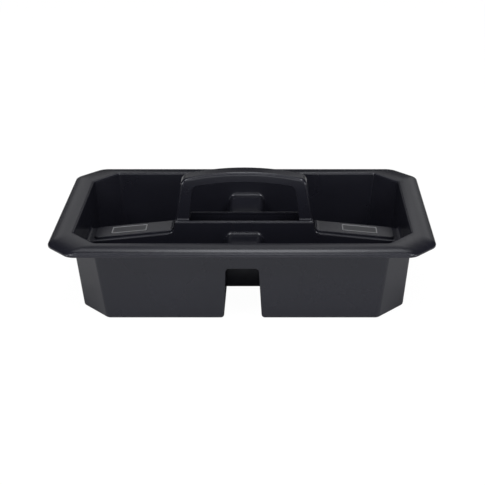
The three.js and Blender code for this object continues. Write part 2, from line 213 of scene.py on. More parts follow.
def round_edges(target: bpy.types.Object, chooses: Callable[[bmesh.types.BMEdge], bool], radius: float,
                segments: int, clamp: bool = True) -> int:
    """Rounds the chosen edges of a solid.

    Args:
        target: The solid.
        chooses: Says whether an edge is rounded.
        radius: How far from the edge the rounding starts.
        segments: How many stretches the rounding has.
        clamp: Whether the rounding is held back where it has too little room.

    Returns:
        How many edges were rounded.
    """
    mesh = bmesh.new()
    mesh.from_mesh(target.data)
    bmesh.ops.remove_doubles(mesh, verts=mesh.verts, dist=1e-6)
    bmesh.ops.dissolve_limit(mesh, angle_limit=math.radians(0.4), verts=mesh.verts, edges=mesh.edges)
    chosen = [edge for edge in mesh.edges if edge.is_manifold and chooses(edge)]
    bmesh.ops.bevel(mesh, geom=chosen, offset=radius, offset_type="OFFSET", segments=segments,
                    profile=0.5, affect="EDGES", clamp_overlap=clamp, material=-1)
    mesh.to_mesh(target.data)
    mesh.free()
    return len(chosen)


def middle_of(edge: bmesh.types.BMEdge) -> Vector:
    """The middle of an edge."""
    return (edge.verts[0].co + edge.verts[1].co) / 2


def is_hollow(edge: bmesh.types.BMEdge, least: float = 45) -> bool:
    """Whether an edge is an inside corner of at least so many degrees."""
    return edge.calc_face_angle_signed(0.0) < -math.radians(least)


def is_proud(edge: bmesh.types.BMEdge, least: float = 40) -> bool:
    """Whether an edge is an outside corner of at least so many degrees."""
    return edge.calc_face_angle_signed(0.0) > math.radians(least)


def finish_shading(target: bpy.types.Object, sharp_from: float = 32) -> None:
    """Smooths the faces, keeps the sharp edges and weights the normals by face size.

    Args:
        target: The piece.
        sharp_from: The angle in degrees from which an edge stays sharp.
    """
    mesh = bmesh.new()
    mesh.from_mesh(target.data)
    for face in mesh.faces:
        face.smooth = True
    for edge in mesh.edges:
        edge.smooth = abs(edge.calc_face_angle(0.0)) < math.radians(sharp_from)
    mesh.to_mesh(target.data)
    mesh.free()
    modifier = target.modifiers.new("weighted normals", "WEIGHTED_NORMAL")
    modifier.keep_sharp = True
    modifier.weight = 60


# Finishes


@dataclass(frozen=True)
class MouldedPlastic:
    """Satin injection-moulded plastic with a fine spark-eroded grain."""

    name: str
    slot: str
    colour: tuple[float, float, float]
    roughness: float
    roughness_spread: float
    grain_size: float
    grain_depth: float
    tint_spread: float
    gloss_tint: tuple[float, float, float] = (0.93, 0.95, 1.0)

    def material(self) -> bpy.types.Material:
        """Builds the node material of this finish.

        Returns:
            The material.
        """
        material = bpy.data.materials.new(self.name)
        material.use_nodes = True
        nodes = material.node_tree.nodes
        links = material.node_tree.links
        shader = nodes["Principled BSDF"]
        shader.inputs["Specular Tint"].default_value = self.gloss_tint + (1,)
        place = nodes.new("ShaderNodeTexCoord")
        grain = self.add_noise(material, place, 1 / self.grain_size, 3)
        clouds = self.add_noise(material, place, 18, 4)
        bump = nodes.new("ShaderNodeBump")
        bump.inputs["Strength"].default_value = 0.35
        bump.inputs["Distance"].default_value = self.grain_depth
        links.new(grain.outputs["Fac"], bump.inputs["Height"])
        links.new(bump.outputs["Normal"], shader.inputs["Normal"])
        gloss = nodes.new("ShaderNodeMapRange")
        gloss.inputs["To Min"].default_value = self.roughness - self.roughness_spread
        gloss.inputs["To Max"].default_value = self.roughness + self.roughness_spread
        links.new(clouds.outputs["Fac"], gloss.inputs["Value"])
        links.new(gloss.outputs["Result"], shader.inputs["Roughness"])
        tint = nodes.new("ShaderNodeValToRGB")
        tint.color_ramp.elements[0].position = 0.3
        tint.color_ramp.elements[1].position = 0.7
        tint.color_ramp.elements[0].color = [c * (1 - self.tint_spread) for c in self.colour] + [1]
        tint.color_ramp.elements[1].color = [c * (1 + self.tint_spread) for c in self.colour] + [1]
        links.new(clouds.outputs["Fac"], tint.inputs["Fac"])
        links.new(tint.outputs["Color"], shader.inputs["Base Color"])
        return material

    @staticmethod
    def add_noise(material: bpy.types.Material, place: bpy.types.Node, scale: float,
                  detail: float) -> bpy.types.Node:
        """Adds a noise pattern on the object's own coordinates.

        Args:
            material: The material that takes the node.
            place: The node that gives the coordinates.
            scale: The pattern's scale.
            detail: The pattern's detail.

        Returns:
            The noise node.
        """
        noise = material.node_tree.nodes.new("ShaderNodeTexNoise")
        noise.inputs["Scale"].default_value = scale
        noise.inputs["Detail"].default_value = detail
        material.node_tree.links.new(place.outputs["Object"], noise.inputs["Vector"])
        return noise


BLACK_PLASTIC = MouldedPlastic("black_satin_plastic", "black_plastic", (0.012, 0.0122, 0.018), 0.25, 0.015,
                               0.0006, 0.00004, 0.06)
PLATE_PLASTIC = MouldedPlastic("plate_grey_plastic", "plate_grey", (0.22, 0.223, 0.232), 0.34, 0.03,
                               0.0005, 0.00003, 0.05)
PANEL_PLASTIC = MouldedPlastic("plate_panel_plastic", "plate_grey", (0.03, 0.031, 0.035), 0.34, 0.03,
                               0.0005, 0.00003, 0.05)


def report_piece(piece: bpy.types.Object, finish: MouldedPlastic, material: bpy.types.Material,
                 *nodes: str) -> None:
    """Dresses a piece, ties it to its body and logs it.

    Args:
        piece: The piece.
        finish: The piece's finish, which is not used.
        material: The material of that finish.
        nodes: The CAD nodes that it stands for.
    """
    piece.data.materials.append(material)
    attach(piece, BODY)
    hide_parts(*nodes)
    log.info("%s: %d faces, stands for %s", piece.name, len(piece.data.polygons), ", ".join(nodes))


# The tub


@dataclass(frozen=True)
class Outline:
    """An eight-sided outline with cut corners, centred on the origin."""

    length: float
    width: float
    chamfer: float
    radius: float

    def grown(self, distance: float) -> "Outline":
        """The outline with every side moved outwards.

        Args:
            distance: How far the sides move.

        Returns:
            The new outline.
        """
        chamfer = self.chamfer + distance * (2 - math.sqrt(2))
        return Outline(self.length + 2 * distance, self.width + 2 * distance, chamfer,
                       max(self.radius + distance, 0.0005))

    def mixed(self, other: "Outline", share: float) -> "Outline":
        """A blend of this outline and another."""
        return Outline(blend(self.length, other.length, share), blend(self.width, other.width, share),
                       blend(self.chamfer, other.chamfer, share), blend(self.radius, other.radius, share))

    def face(self, mesh: bmesh.types.BMesh, height: float, segments: int) -> bmesh.types.BMFace:
        """Adds the outline as a face at a height, with its eight corners rounded.

        Args:
            mesh: The mesh that takes the face.
            height: The face's height.
            segments: How many stretches each corner has.

        Returns:
            The face.
        """
        long_x, long_y = self.length / 2 - self.chamfer, self.width / 2
        end_x, end_y = self.length / 2, self.width / 2 - self.chamfer
        quarter = [(long_x, long_y), (-long_x, long_y), (-end_x, end_y), (-end_x, -end_y)]
        corners = [Vector((x, y, height)) for x, y in quarter]
        corners += [Vector((-x, -y, height)) for x, y in quarter]
        reach = self.radius * math.tan(EIGHTH_TURN / 2)
        return add_face(mesh, corners, {index: reach for index in range(8)}, segments)


@dataclass(frozen=True)
class Tub:
    """The tub: drafted walls with cut corners, a floor and a rolled rim."""

    base_length: float = 0.362
    base_width: float = 0.1955
    base_chamfer: float = 0.031
    mouth_chamfer: float = 0.029
    draft: float = math.radians(3.6)
    corner_radius: float = 0.007
    wall: float = 0.0024
    floor: float = 0.0025
    base_edge_radius: float = 0.003
    floor_fillet: float = 0.005
    rim_height: float = 0.095
    rim_length: float = CAD_HIGH.x - CAD_LOW.x
    rim_width: float = CAD_HIGH.y - CAD_LOW.y
    rim_chamfer: float = 0.026
    rim_corner_radius: float = 0.014
    rim_land: float = 0.006
    nose_drop: float = 0.0058
    lip_depth: float = 0.008
    land_fall: float = 0.0001
    mouth_edge_radius: float = 0.0026
    root_radius: float = 0.002
    corner_segments: int = 8

    @property
    def base(self) -> Outline:
        """The outside of the wall at the base."""
        return Outline(self.base_length, self.base_width, self.base_chamfer, self.corner_radius)

    @property
    def mouth(self) -> Outline:
        """The outside of the wall at the rim's height."""
        grown = self.base.grown(self.rim_height * math.tan(self.draft))
        return replace(grown, chamfer=self.mouth_chamfer, radius=self.corner_radius)

    @property
    def opening(self) -> Outline:
        """The inside of the wall at the rim's height."""
        return self.mouth.grown(-self.wall)

    @property
    def flange_width(self) -> float:
        """The width of the flange at the two ends of the tub."""
        return (self.rim_length - self.opening.length) / 2

    def wall_outline(self, height: float, distance: float = 0.0) -> Outline:
        """The outside of the wall at a height, moved outwards by a distance."""
        return self.base.mixed(self.mouth, height / self.rim_height).grown(distance)

    def flange_outline(self, distance: float) -> Outline:
        """The rim's outline at a distance from the opening."""
        rim = Outline(self.rim_length, self.rim_width, self.rim_chamfer, self.rim_corner_radius)
        return self.opening.mixed(rim, distance / self.flange_width)

    def end_x(self, height: float) -> float:
        """Half the tub's outside length at a height."""
        return self.base_length / 2 + height * math.tan(self.draft)

    def side_y(self, height: float) -> float:
        """Half the tub's outside width at a height."""
        return self.base_width / 2 + height * math.tan(self.draft)

    def rim_section(self) -> list[tuple[float, float]]:
        """The rim's section: under the flange, round the lip and back on top.

        Returns:
            The points in order, each as a distance from the opening and a height.
        """
        nose = (self.rim_land, self.rim_height - self.nose_drop)
        nose_radii = (self.flange_width - self.rim_land, self.nose_drop)
        under_radii = (nose_radii[0] - self.wall, nose_radii[1] - self.wall)
        root = (self.wall + self.root_radius, self.rim_height - self.wall - self.root_radius)
        lip_radius = self.wall / 2
        lip = (self.flange_width - lip_radius, self.rim_height - self.lip_depth + lip_radius)
        mouth = (self.mouth_edge_radius, self.rim_height - self.land_fall - self.mouth_edge_radius)
        mouth_radii = (self.mouth_edge_radius, self.mouth_edge_radius)
        quarter = math.pi / 2
        return (arc(root, (self.root_radius, self.root_radius), math.pi, quarter, 5)
                + arc(nose, under_radii, quarter, 0, 10)
                + arc(lip, (lip_radius, lip_radius), -math.pi, 0, 8)
                + arc(nose, nose_radii, 0, quarter, 20)
                + arc(mouth, mouth_radii, quarter, math.pi, 6))

    def build(self) -> bpy.types.Object:
        """The tub's whole skin, from the underside out round the rim and in to the floor.

        Returns:
            The tub.
        """
        mesh = bmesh.new()
        edge = self.base_edge_radius
        levels = [(self.wall_outline(z, x), z) for x, z in
                  arc((-edge, edge), (edge, edge), -math.pi / 2, 0, 6)]
        levels += [(self.flange_outline(x), z) for x, z in self.rim_section()]
        fillet = self.floor_fillet
        levels += [(self.wall_outline(z, x - self.wall), z) for x, z in
                   arc((-fillet, self.floor + fillet), (fillet, fillet), 0, -math.pi / 2, 6)]
        skin_faces(mesh, [outline.face(mesh, z, self.corner_segments) for outline, z in levels])
        return to_object("tub", mesh)


# The finger tunnels


@dataclass(frozen=True)
class FingerTunnels:
    """The finger tunnels: a hood over each one inside the tub and the opening through the wall."""

    tub: Tub
    width: float = 0.036
    ceiling: float = 0.0634
    draft: float = math.radians(2.6)
    top_radius: float = 0.0041
    hood_radius: float = 0.0078
    foot_radius: float = 0.006
    foot_reach: float = 0.0085
    foot_drop: float = 0.0004

    def side_x(self, height: float, distance: float) -> float:
        """Half the tunnel's width at a height, moved outwards by a distance."""
        lean = (self.ceiling - height) * math.tan(self.draft)
        return self.width / 2 + lean + distance / math.cos(self.draft)

    def corner_reach(self, radius: float) -> float:
        """How far from a corner its rounding starts."""
        return radius * math.tan((math.pi / 2 - self.draft) / 2)

    def build_hoods(self) -> bpy.types.Object:
        """One solid bar that runs from wall to wall and becomes both hoods.

        Returns:
            The bar.
        """
        mesh = bmesh.new()
        wall = self.tub.wall
        low, top = self.tub.floor / 2, self.ceiling + wall
        near_y = -self.tub.base_width / 2
        points = [(self.side_x(top, wall), top), (-self.side_x(top, wall), top),
                  (-self.side_x(low, wall), low), (self.side_x(low, wall), low)]
        reach = self.corner_reach(self.hood_radius)
        face = add_face(mesh, [Vector((x, near_y, z)) for x, z in points], {0: reach, 1: reach}, 8)
        extrude_face(mesh, face, Vector((0, self.tub.base_width, 0)))
        for vertex in mesh.verts:
            side = math.copysign(1, vertex.co.y)
            vertex.co.y = side * (self.tub.side_y(vertex.co.z) - wall / 2)
        return to_object("tunnel hoods", mesh)

    def build_voids(self, saddle_form: bpy.types.Object) -> bpy.types.Object:
        """The two tunnels' empty space, with flared feet, up to the saddle's sides.

        Args:
            saddle_form: The solid that the tunnels stop at, which is used up.

        Returns:
            The empty space as a solid.
        """
        mesh = bmesh.new()
        reach_y = self.tub.rim_width / 2 + OVERRUN
        foot_x = self.side_x(-self.foot_drop, 0)
        right = [(foot_x + self.foot_reach, -OVERRUN), (foot_x + self.foot_reach, -self.foot_drop),
                 (foot_x, -self.foot_drop), (self.side_x(self.ceiling, 0), self.ceiling)]
        points = right + [(-x, z) for x, z in reversed(right)]
        foot, top = self.corner_reach(self.foot_radius), self.corner_reach(self.top_radius)
        face = add_face(mesh, [Vector((x, -reach_y, z)) for x, z in points],
                        {2: foot, 5: foot, 3: top, 4: top}, 8)
        extrude_face(mesh, face, Vector((0, 2 * reach_y, 0)))
        voids = to_object("tunnel voids", mesh)
        combine(voids, saddle_form, Combine.CUT)
        return voids


# The saddle


@dataclass(frozen=True)
class Line:
    """A line of the XZ plane through a point, at an angle."""

    x: float
    z: float
    angle: float

    def shifted(self, distance: float) -> "Line":
        """The line moved to its left."""
        return replace(self, x=self.x - distance * math.sin(self.angle),
                       z=self.z + distance * math.cos(self.angle))

    def crossing(self, other: "Line") -> tuple[float, float]:
        """Where this line and another cross.

        Args:
            other: The other line.

        Returns:
            The crossing as X and Z.
        """
        off_x, off_z = other.x - self.x, other.z - self.z
        along = (off_x * math.sin(other.angle) - off_z * math.cos(other.angle)) / math.sin(
            other.angle - self.angle)
        return self.x + along * math.cos(self.angle), self.z + along * math.sin(self.angle)

    def rounded(self, other: "Line", radius: float, hollow: bool, steps: int) -> list[tuple[float, float]]:
        """The arc that rounds the corner between this line and another.

        Args:
            other: The next line.
            radius: The arc's radius.
            hollow: Whether the corner is an inside one.
            steps: How many stretches the arc has.

        Returns:
            The arc's points.
        """
        side = radius if hollow else -radius
        centre = self.shifted(side).crossing(other.shifted(side))
        quarter = -math.pi / 2 if hollow else math.pi / 2
        return arc(centre, (radius, radius), self.angle + quarter, other.angle + quarter, steps)


@dataclass(frozen=True)
class Saddle:
    """The saddle: a plateau under the handle, hollow flares and a sloping wing to each end wall."""

    tub: Tub
    height: float = 0.081
    top_width: float = 0.0304
    draft: float = math.radians(3.4)
    edge_radius: float = 0.0025
    wall: float = 0.0024
    plateau_length: float = 0.1584
    plateau_end_radius: float = 0.0008
    flank_lean: float = math.radians(9.1)
    flare_radius: float = 0.009
    slot_length: float = 0.1268
    slot_width: float = 0.0246
    slot_corner_radius: float = 0.002
    wing_root_height: float = 0.0679
    wing_slope: float = math.radians(5.7)
    wing_root_width: float = 0.036
    wing_edge_radius: float = 0.002
    hollow_end_wall: float = 0.0039
    least_radius: float = 0.0006
    panel_step: float = 0.0024
    panel_width: float = 0.0285
    panel_edge_radius: float = 0.0011
    panel_start: float = 0.082
    panel_end: float = 0.1741
    panel_corner_radius: float = 0.005

    def top_line(self, distance: float, step: float) -> list[tuple[float, float]]:
        """The top line from the middle to one end: plateau, flank, flare and wing.

        Args:
            distance: How far the line is moved outwards.
            step: How far the wing alone is raised besides.

        Returns:
            The points in order, each as X and Z.
        """
        plateau = Line(0, self.height, 0).shifted(distance)
        flank = Line(self.plateau_length / 2, self.height, self.flank_lean - math.pi / 2).shifted(distance)
        wing = self.wing_line.shifted(distance + step)
        end = Line(self.tub.end_x(0), 0, math.pi / 2 - self.tub.draft)
        plateau_end = max(self.plateau_end_radius + distance, self.least_radius)
        return ([(0.0, plateau.z)]
                + plateau.rounded(flank, plateau_end, False, 4)
                + flank.rounded(wing, self.flare_radius - distance, True, 10)
                + [wing.crossing(end)])

    @property
    def wing_line(self) -> Line:
        """The line of the wing's top."""
        return Line(self.plateau_length / 2, self.wing_root_height, -self.wing_slope)

    def wing_share(self, x: float) -> float:
        """How much of the wing's section a place along the saddle has."""
        start = self.plateau_length / 2
        return smooth_share(abs(x), start, start + self.flare_radius * 1.4)

    def build_form(self, name: str, distance: float, low: float,
                   end_inset: float = 0.0, step: float = 0.0) -> bpy.types.Object:
        """A solid with the saddle's outer form.

        Args:
            name: The object's name.
            distance: How far the top and the sides are moved outwards.
            low: The height of the solid's underside.
            end_inset: How far the ends stay back from the tub's outside.
            step: How far the wings are raised.

        Returns:
            The solid.
        """
        side = distance / math.cos(self.draft)
        rise = math.tan(self.draft)
        half = self.top_line(distance, step)
        stations = [(-x, z) for x, z in reversed(half[1:])] + half
        mesh = bmesh.new()
        faces = []
        for index, (x, z) in enumerate(stations):
            share = self.wing_share(x)
            plateau_foot = self.top_width / 2 + self.height * rise
            wing_foot = self.wing_root_width / 2 + self.wing_root_height * rise
            foot = blend(plateau_foot, wing_foot, share) + side
            own = blend(self.edge_radius, self.wing_edge_radius, share) + distance
            radius = max(own, self.least_radius)
            points = [(foot - z * rise, z), (-foot + z * rise, z), (-foot + low * rise, low),
                      (foot - low * rise, low)]
            reach = radius * math.tan((math.pi / 2 - self.draft) / 2)
            face = add_face(mesh, [Vector((x, y, height)) for y, height in points],
                            {0: reach, 1: reach}, 6)
            if index in (0, len(stations) - 1):
                for vertex in face.verts:
                    vertex.co.x = math.copysign(self.tub.end_x(vertex.co.z) - end_inset, x)
            faces.append(face)
        skin_faces(mesh, faces)
        return to_object(name, mesh)

    def build_panel(self, side: int) -> bpy.types.Object:
        """The raised panel on one wing.

        Args:
            side: The wing: -1 is the left one and 1 the right one.

        Returns:
            The panel with its rounded edges.
        """
        panel = self.build_form("panel", 0, self.wing_root_height / 2, step=self.panel_step)
        mesh = bmesh.new()
        start, end, half_width = self.panel_start * side, self.panel_end * side, self.panel_width / 2
        points = [(end, half_width), (start, half_width), (start, -half_width), (end, -half_width)]
        face = add_face(mesh, [Vector((x, y, 0)) for x, y in points],
                        {index: self.panel_corner_radius for index in range(4)}, 6)
        extrude_face(mesh, face, Vector((0, 0, self.height - self.panel_step)))
        combine(panel, to_object("panel plan", mesh), Combine.KEEP_SHARED)
        round_edges(panel, is_proud, self.panel_edge_radius, 4, False)
        return panel

    def build_hollow(self) -> bpy.types.Object:
        """The empty space under the saddle."""
        return self.build_form("saddle hollow", -self.wall, -OVERRUN, end_inset=self.hollow_end_wall)

    def build_slot(self) -> bpy.types.Object:
        """The cutter for the slot in the plateau.

        Returns:
            The cutter.
        """
        mesh = bmesh.new()
        x, y = self.slot_length / 2, self.slot_width / 2
        low = self.height - self.wall - OVERRUN
        points = [(x, y), (-x, y), (-x, -y), (x, -y)]
        face = add_face(mesh, [Vector((px, py, low)) for px, py in points],
                        {index: self.slot_corner_radius for index in range(4)}, 5)
        extrude_face(mesh, face, Vector((0, 0, self.wall + 2 * OVERRUN)))
        return to_object("slot", mesh)


# The moulding


@dataclass(frozen=True)
class CaddyMoulding:
    """The tub, the tunnels and the saddle as one moulding, parted into the tray and the saddle."""

    tub: Tub
    tunnels: FingerTunnels
    saddle: Saddle
    fillet: float = 0.0042
    edge_break: float = 0.0006
    slot_edge_break: float = 0.0003
    seam_y: float = 0.031
    seam_z: float = 0.086

    def build_solid(self) -> bpy.types.Object:
        """The whole moulding with its fillets.

        Returns:
            The moulding, before its small edges are broken.
        """
        body = self.tub.build()
        combine(body, self.tunnels.build_hoods(), Combine.JOIN)
        form = self.saddle.build_form("saddle form", 0, self.tub.floor / 2, end_inset=self.tub.wall / 2)
        combine(body, form, Combine.JOIN)
        log.info("fillets on %d inside edges", round_edges(body, is_hollow, self.fillet, 6, False))
        for side in (-1, 1):
            combine(body, self.saddle.build_panel(side), Combine.JOIN)
        block = self.saddle.build_form("saddle block", 0, -OVERRUN)
        combine(body, self.tunnels.build_voids(block), Combine.CUT)
        combine(body, self.saddle.build_hollow(), Combine.CUT)
        combine(body, self.saddle.build_slot(), Combine.CUT)
        return body

    def is_at_slot(self, edge: bmesh.types.BMEdge) -> bool:
        """Whether an edge lies on the rim of the slot, above or below the plateau's wall.

        Args:
            edge: The edge.

        Returns:
            Whether it does.
        """
        place, near = middle_of(edge), self.saddle.wall / 2
        return (abs(place.x) < self.saddle.slot_length / 2 + near
                and abs(place.y) < self.saddle.slot_width / 2 + near
                and place.z > self.saddle.height - self.saddle.wall - near)

    def is_open_edge(self, edge: bmesh.types.BMEdge) -> bool:
        """Whether an edge is a proud one away from the slot."""
        return is_proud(edge) and not self.is_at_slot(edge)

    def is_mouth_edge(self, edge: bmesh.types.BMEdge) -> bool:
        """Whether an edge is a proud one of the slot's mouth."""
        return is_proud(edge) and self.is_at_slot(edge) and middle_of(edge).z > self.saddle.height - 1e-4

    def build_saddle_region(self) -> bpy.types.Object:
        """The space that the saddle's piece takes out of the moulding.

        Returns:
            The space as a solid.
        """
        mesh = bmesh.new()
        half_x = self.tub.base_length / 2 - self.tub.wall / 2
        points = [(half_x, self.seam_y), (-half_x, self.seam_y), (-half_x, -self.seam_y),
                  (half_x, -self.seam_y)]
        face = add_face(mesh, [Vector((x, y, -OVERRUN)) for x, y in points])
        extrude_face(mesh, face, Vector((0, 0, self.seam_z + OVERRUN)))
        for vertex in mesh.verts:
            vertex.co.x += math.copysign(1, vertex.co.x) * vertex.co.z * math.tan(self.tub.draft)
        return to_object("saddle region", mesh)

    def build(self, material: bpy.types.Material) -> None:
        """Makes the moulding, breaks its small edges, parts it and dresses both pieces.

        The slot's edges are broken by less than the others, because the flat beside the slot is narrow.

        Args:
            material: The black plastic.
        """
        tray = self.build_solid()
        tray.name = "moulded_tray"
        log.info("edges broken: %d", round_edges(tray, self.is_open_edge, self.edge_break, 3, False))
        log.info("mouth: %d", round_edges(tray, self.is_mouth_edge, self.slot_edge_break, 3, False))
        saddle = tray.copy()
        saddle.data = tray.data.copy()
        saddle.name = "moulded_saddle"
        bpy.context.scene.collection.objects.link(saddle)
        region = self.build_saddle_region()
        combine(saddle, region, Combine.KEEP_SHARED, keep_tool=True)
        combine(tray, region, Combine.CUT)
        for piece, node in ((tray, "tray"), (saddle, "centre_saddle")):
            finish_shading(piece)
            report_piece(piece, BLACK_PLASTIC, material, node)


# The handle


@dataclass(frozen=True)
class CarryHandle:
    """The handle: an arch with a U-shaped section that is open towards the hand."""

    seat: float
    height: float = CAD_HIGH.z
    thickness: float = 0.020
    leg_spread: float = 0.1584
    leg_width: float = 0.0158
    leg_lean: float = math.radians(9.1)
    leg_inner_lean: float = math.radians(7.5)
    crown_radius: float = 0.3
    grip_depth: float = 0.0122
    shoulder_radius: float = 0.010
    opening_radius: float = 0.007
    edge_radius: float = 0.0038
    inner_edge_radius: float = 0.0013
    wall: float = 0.0028
    foot_fillet: float = 0.0022
    channel_edge: float = 0.0006
    crown_steps: int = 16
    foot_steps: int = 6
    bend_share: float = 0.42

    def chain(self, foot_x: float, lean: float, crown: float, foot_z: float) -> list[Vector]:
        """The corners of one outline of the arch, from the right foot over the crown to the left foot.

        Args:
            foot_x: Half the spread of the feet at the seat.
            lean: How far the legs lean inwards.
            crown: The radius of the crown.
            foot_z: The height at which the legs end.

        Returns:
            The corners in order, on the front of the arch.
        """
        centre_z = self.height - self.crown_radius
        off_z = self.seat - centre_z
        along = -foot_x * math.sin(lean) + off_z * math.cos(lean)
        travel = math.sqrt(along ** 2 - foot_x ** 2 - off_z ** 2 + crown ** 2) - along
        shoulder = (foot_x - travel * math.sin(lean), self.seat + travel * math.cos(lean))
        start = math.atan2(shoulder[1] - centre_z, shoulder[0])
        crown_points = arc((0, centre_z), (crown, crown), start, math.pi - start, self.crown_steps)
        foot = foot_x + (self.seat - foot_z) * math.tan(lean)
        points = [(foot, foot_z)] + crown_points + [(-foot, foot_z)]
        return [Vector((x, -self.thickness / 2, z)) for x, z in points]

    def outside(self, distance: float, foot_z: float) -> list[Vector]:
        """The outer outline, moved inwards."""
        foot_x = self.leg_spread / 2 - distance / math.cos(self.leg_lean)
        return self.chain(foot_x, self.leg_lean, self.crown_radius - distance, foot_z)

    def build_arch(self) -> bpy.types.Object:
        """The solid arch with rounded edges and flared feet.

        Returns:
            The arch.
        """
        mesh = bmesh.new()
        outer = self.outside(0, self.seat)
        inner = self.chain(self.leg_spread / 2 - self.leg_width, self.leg_inner_lean,
                           self.crown_radius - self.grip_depth, self.seat)
        corners = outer + list(reversed(inner))
        turn = math.pi / 2 - self.leg_lean
        shoulder = self.shoulder_radius * math.tan(turn * self.bend_share)
        opening = self.opening_radius * math.tan(turn * self.bend_share)
        last = len(corners) - 1
        rounding = {1: shoulder, len(outer) - 2: shoulder, len(outer) + 1: opening, last - 1: opening}
        face = add_face(mesh, corners, rounding, 8)
        extrude_face(mesh, face, Vector((0, self.thickness, 0)))
        long_edges = [edge for edge in mesh.edges if edge.calc_face_angle(0.0) > math.radians(60)
                      and middle_of(edge).z > self.seat + 1e-5
                      and abs(abs(middle_of(edge).y) - self.thickness / 2) < 1e-6]
        outer_edges = [edge for edge in long_edges if self.is_outer(middle_of(edge))]
        inner_edges = [edge for edge in long_edges if edge not in outer_edges]
        for edges, radius in ((outer_edges, self.edge_radius), (inner_edges, self.inner_edge_radius)):
            bmesh.ops.bevel(mesh, geom=edges, offset=radius, offset_type="OFFSET", segments=6,
                            profile=0.5, affect="EDGES", clamp_overlap=True, material=-1)
        self.flare_feet(mesh)
        return to_object("handle", mesh)

    def is_outer(self, place: Vector) -> bool:
        """Whether a place lies nearer to the arch's outside than to its opening.

        Args:
            place: The place.

        Returns:
            Whether it does.
        """
        leg_middle = (self.leg_spread - self.leg_width) / 2 - (place.z - self.seat) * math.tan(self.leg_lean)
        crown_middle = self.crown_radius - self.grip_depth / 2
        from_centre = math.hypot(place.x, place.z - self.height + self.crown_radius)
        return abs(place.x) > leg_middle or from_centre > crown_middle

    def flare_feet(self, mesh: bmesh.types.BMesh) -> None:
        """Widens the feet of the legs to the front and the back, in a hollow curve that meets the saddle.

        Args:
            mesh: The arch.
        """
        steps = self.foot_steps
        levels = [self.foot_fillet * (1 - math.sin(math.pi / 2 * step / steps)) for step in range(steps)]
        for level in levels:
            bmesh.ops.bisect_plane(mesh, geom=mesh.verts[:] + mesh.edges[:] + mesh.faces[:], dist=1e-6,
                                   plane_co=(0, 0, self.seat + level), plane_no=(0, 0, 1))
        mesh.normal_update()
        moves = []
        for vertex in mesh.verts:
            rise = vertex.co.z - self.seat
            if rise < self.foot_fillet - 1e-6:
                outwards = Vector((vertex.normal.x, vertex.normal.y, 0)).normalized()
                outwards.x = 0
                drop = self.foot_fillet - rise
                moves.append((vertex, outwards * (self.foot_fillet
                                                  - math.sqrt(max(self.foot_fillet ** 2 - drop ** 2, 0)))))
        for vertex, move in moves:
            vertex.co += move

    def build_channel(self) -> bpy.types.Object:
        """The space inside the U-shaped section.

        Returns:
            The space as a solid.
        """
        mesh = bmesh.new()
        corners = self.outside(self.wall, self.seat - OVERRUN)
        turn = math.pi / 2 - self.leg_lean
        reach = (self.shoulder_radius - self.wall) * math.tan(turn * self.bend_share)
        face = add_face(mesh, corners, {1: reach, len(corners) - 2: reach}, 8)
        extrude_face(mesh, face, Vector((0, self.thickness, 0)))
        share = (self.thickness / 2 - self.wall) / (self.thickness / 2)
        bmesh.ops.scale(mesh, vec=(1, share, 1), verts=mesh.verts)
        return to_object("channel", mesh)

    def build(self, material: bpy.types.Material) -> None:
        """Makes and dresses the handle.

        Args:
            material: The black plastic.
        """
        handle = self.build_arch()
        handle.name = "arched_handle"
        combine(handle, self.build_channel(), Combine.CUT)
        round_edges(handle, lambda edge: is_proud(edge, 60) and middle_of(edge).z > self.seat + 0.001,
                    self.channel_edge, 3)
        finish_shading(handle)
        report_piece(handle, BLACK_PLASTIC, material, "carry_handle")


# The plates


class Wing(Enum):
    """The two wings, with the side of the caddy that each lies on."""

    LEFT = -1
    RIGHT = 1


@dataclass(frozen=True)
class LabelPlate:
    """A bare plate on a wing: a raised border round a sunk panel."""

    saddle: Saddle
    length: float = 0.041
    width: float = 0.0165
    corner_radius: float = 0.0015
    proud: float = 0.0006
    thickness: float = 0.0016
    border: float = 0.0012
    recess: float = 0.0003
    edge_radius: float = 0.0002
    centre: float = 0.134

    def build(self, wing: Wing, border: bpy.types.Material, panel: bpy.types.Material) -> None:
        """Makes the plate of one wing and dresses its border and its panel.

        Args:
            wing: The wing that carries it.
            border: The material of the border.
            panel: The material of the sunk panel.
        """
        mesh = bmesh.new()
        x, y = self.length / 2, self.width / 2
        face = add_face(mesh, [Vector((px, py, 0)) for px, py in ((x, y), (-x, y), (-x, -y), (x, -y))],
                        {index: self.corner_radius for index in range(4)}, 5)
        extrude_face(mesh, face, Vector((0, 0, self.thickness)))
        mesh.normal_update()
        inner = max(mesh.faces, key=lambda item: item.calc_center_median().z)
        bmesh.ops.inset_region(mesh, faces=[inner], thickness=self.border, use_even_offset=True)
        bmesh.ops.inset_region(mesh, faces=[inner], thickness=self.recess * 0.4, depth=-self.recess,
                               use_even_offset=True)
        inner.material_index = 1
        middle = self.thickness / 2
        outer = [edge for edge in mesh.edges if is_proud(edge, 60) and middle_of(edge).z > middle]
        bmesh.ops.bevel(mesh, geom=outer, offset=self.edge_radius, offset_type="OFFSET", segments=2,
                        profile=0.5, affect="EDGES", clamp_overlap=True, material=-1)
        line = self.saddle.wing_line.shifted(self.saddle.panel_step)
        run = self.centre - line.x
        height = line.z + run * math.tan(line.angle) + self.proud - self.thickness
        turn = Matrix.Rotation(wing.value * self.saddle.wing_slope, 4, "Y")
        bmesh.ops.transform(mesh, matrix=Matrix.Translation((wing.value * self.centre, 0, height)) @ turn,
                            verts=mesh.verts)
        name = wing.name.lower()
        plate = to_object(f"bare_plate_{name}", mesh)
        finish_shading(plate)
        report_piece(plate, PLATE_PLASTIC, border, f"label_plate_{name}")
        plate.data.materials.append(panel)


# The studio


